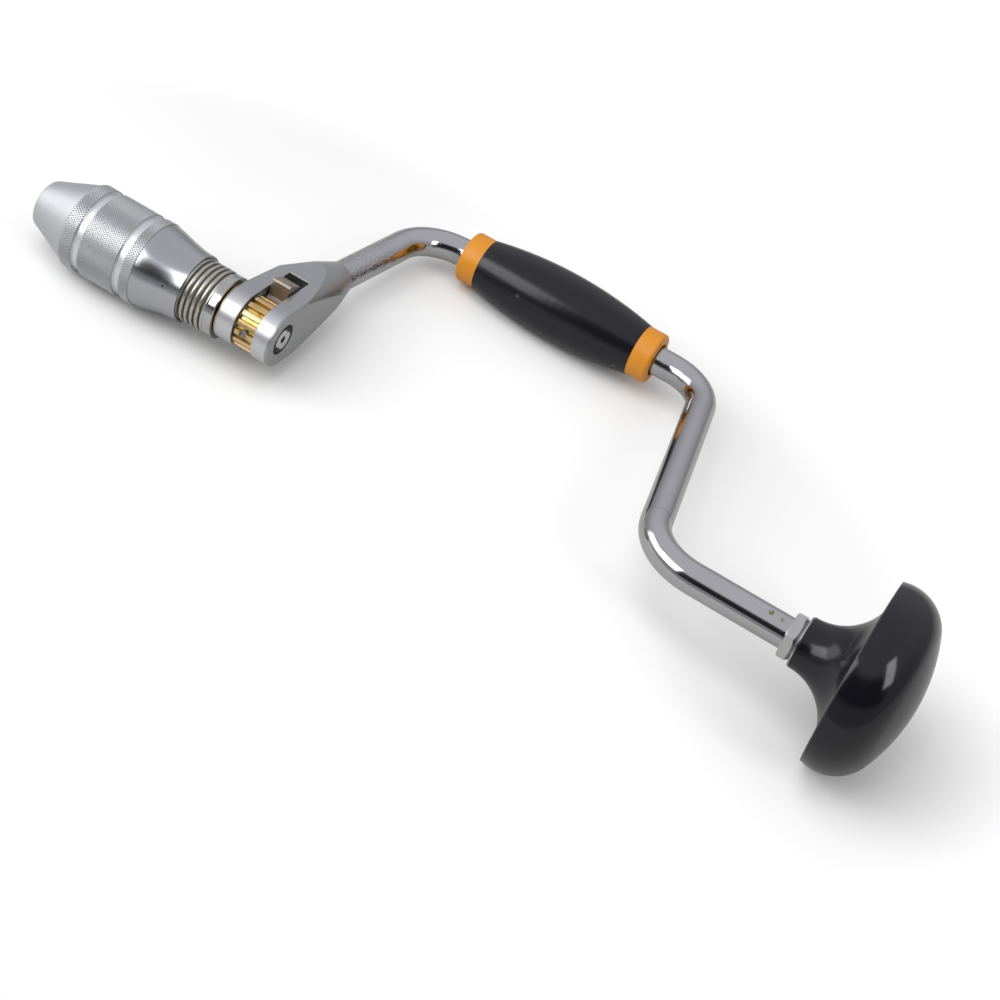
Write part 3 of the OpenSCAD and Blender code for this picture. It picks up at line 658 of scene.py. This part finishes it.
FLOOR_NEAR_Y, FLOOR_FAR_Y, FLOOR_HALF_X = -0.17, 3.0, 3.0
FLOOR_MIDDLE_X = 0.15
FLOOR_GLOW = 0.03
FLOOR_FAR_GLOW = 0.6
FAR_GLOW_FROM, FAR_GLOW_FULL = 0.25, 0.42
FLOOR_GAP = 0.2 * MM

# How bright the studio is at eye level, how much brighter its ceiling is, and where its dark side lies
ROOM_GREY = 0.34
CEILING_GREY = 0.36
DARK_SIDE = (0.32, -0.90, 0.30)


def set_camera():
    """The camera of the photograph."""
    forward = VIEW_DIR.normalized()
    right = forward.cross(UP_DIR).normalized()
    up = right.cross(forward)
    camera = add_object("camera", bpy.data.cameras.new("camera"))
    camera.matrix_world = Matrix((
        (right.x, up.x, -forward.x, CAMERA_PLACE.x),
        (right.y, up.y, -forward.y, CAMERA_PLACE.y),
        (right.z, up.z, -forward.z, CAMERA_PLACE.z),
        (0.0, 0.0, 0.0, 1.0)))
    lens = camera.data
    lens.sensor_width = SENSOR_MM
    lens.lens = FOCAL_PX / IMAGE_PX * SENSOR_MM
    lens.shift_x = 0.5 - CENTRE_PX[0] / IMAGE_PX
    lens.shift_y = CENTRE_PX[1] / IMAGE_PX - 0.5
    lens.clip_start = 0.05
    lens.clip_end = 20.0
    bpy.context.scene.camera = camera


def floor_plane():
    """Normal and offset of the floor that touches the chuck, the handle and the pad from below."""
    chuck_x, chuck_r = NOSE_LEN, SHELL_R
    pad_x, pad_r = PAD_LOW.x + WIDEST_X, PAD_HIGH.z
    handle_x, handle_r = (GRIP_LOW.x + GRIP_HIGH.x) / 2, GRIP_HIGH.z
    rise_x = (pad_r - chuck_r) / (pad_x - chuck_x)
    offset = rise_x * chuck_x - chuck_r
    rise_y = (offset + handle_r - rise_x * handle_x) / HANDLE_Y
    length = math.sqrt(1.0 + rise_x ** 2)
    normal = Vector((rise_x, rise_y, math.sqrt(max(0.0, 1.0 - rise_y ** 2)))) / length
    return normal, offset / length


def floor_material():
    """White floor that stays white to the camera, keeps the soft shadow and is duller in reflections."""
    f = new_finish("white_floor")
    x, y, _ = f.parts_of(f.place())
    away = radius_about(x - FLOOR_MIDDLE_X, 1.5 * y)
    level = FLOOR_GLOW + FLOOR_FAR_GLOW * f.smooth(away, FAR_GLOW_FROM, FAR_GLOW_FULL)
    mirrored = f.node("ShaderNodeLightPath", output="Is Glossy Ray")
    # Painted shade: the floor is painted darker near the chuck, where the lamps light it more.
    near_chuck = f.smooth(x, 0.20, 0.02)
    tone = f.blend(near_chuck, (0.80, 0.80, 0.80), (0.70, 0.70, 0.70))
    tone = f.blend(mirrored, tone, (0.50, 0.50, 0.50))
    diffuse = f.node("ShaderNodeBsdfDiffuse", inputs={"Color": tone})
    glow = f.node("ShaderNodeEmission", inputs={"Color": f.vector(level, level, level), "Strength": 1.0})
    both = f.node("ShaderNodeAddShader", inputs={0: diffuse, 1: glow})
    seen = f.node("ShaderNodeLightPath", output="Is Camera Ray")
    return f.show(f.node("ShaderNodeMixShader", inputs={0: seen, 1: diffuse, 2: both}))


def add_floor():
    """A wide flat floor under the three places that the brace rests on, short on the camera's side."""
    normal, offset = floor_plane()
    centre = normal * (offset - FLOOR_GAP)
    corners = []
    for x, y in ((-FLOOR_HALF_X, FLOOR_NEAR_Y), (FLOOR_HALF_X, FLOOR_NEAR_Y),
                 (FLOOR_HALF_X, FLOOR_FAR_Y), (-FLOOR_HALF_X, FLOOR_FAR_Y)):
        z = (centre.dot(normal) - normal.x * x - normal.y * y) / normal.z
        corners.append((x, y, z))
    mesh = bpy.data.meshes.new("floor")
    mesh.from_pydata(corners, [], [(0, 1, 2, 3)])
    mesh.materials.append(floor_material())
    add_object("floor", mesh)


def add_lamp(name, place, target, size, power, in_reflections=True):
    """A soft rectangular lamp that looks at a point."""
    lamp = bpy.data.lights.new(name, "AREA")
    lamp.shape = "RECTANGLE"
    lamp.size, lamp.size_y = size
    lamp.energy = power
    made = add_object(name, lamp)
    made.location = place
    made.rotation_euler = (Vector(target) - Vector(place)).to_track_quat("-Z", "Y").to_euler()
    made.visible_glossy = in_reflections


def set_world():
    """Grey studio with a pale ceiling and a dark band behind the camera; white to the camera itself."""
    world = bpy.data.worlds.new("studio")
    bpy.context.scene.world = world
    f = Finish(world)
    toward = f.node("ShaderNodeTexCoord", output="Generated")
    z = f.parts_of(toward)[2]
    ceiling = f.smooth(z, 0.05, 0.75)
    facing = f.node("ShaderNodeVectorMath", {"operation": "DOT_PRODUCT"}, {0: toward, 1: DARK_SIDE}, "Value")
    dark = f.smooth(facing, 0.55, 0.75) * f.smooth(z, -0.04, 0.10) * f.smooth(z, 0.68, 0.50)
    level = (ROOM_GREY + CEILING_GREY * ceiling) * (1.0 - 0.95 * dark)
    mirrored = f.node("ShaderNodeLightPath", output="Is Glossy Ray")
    cool = level * (1.0 + 0.07 * mirrored)
    light = f.node("ShaderNodeBackground", inputs={"Color": f.vector(level, level, cool), "Strength": 1.0})
    white = f.node("ShaderNodeBackground", inputs={"Color": (1.0, 1.0, 1.0), "Strength": 1.0})
    seen = f.node("ShaderNodeLightPath", output="Is Camera Ray")
    f.show(f.node("ShaderNodeMixShader", inputs={0: seen, 1: light, 2: white}))


def set_light():
    """A soft box over the camera, one beyond the chuck, one in front of it, and a window beyond the pad."""
    add_lamp("overhead", place=(0.02, -0.40, 0.80), target=(0.20, 0.04, 0.0), size=(0.75, 0.75), power=4.8,
             in_reflections=False)
    add_lamp("key", place=(-0.82, -0.20, 0.48), target=(0.10, 0.03, 0.0), size=(0.85, 0.6), power=2.7)
    add_lamp("front", place=(-0.34, -0.58, 0.46), target=(0.08, 0.0, 0.0), size=(0.62, 0.55), power=3.5)
    add_lamp("window", place=(1.20, -0.34, 0.62), target=(0.38, -0.02, 0.02), size=(0.31, 0.58), power=2.7)


paint_nodes()
dress_chuck()
pad_dome()
set_camera()
add_floor()
set_world()
set_light()
bpy.context.scene.view_settings.view_transform = "Standard"
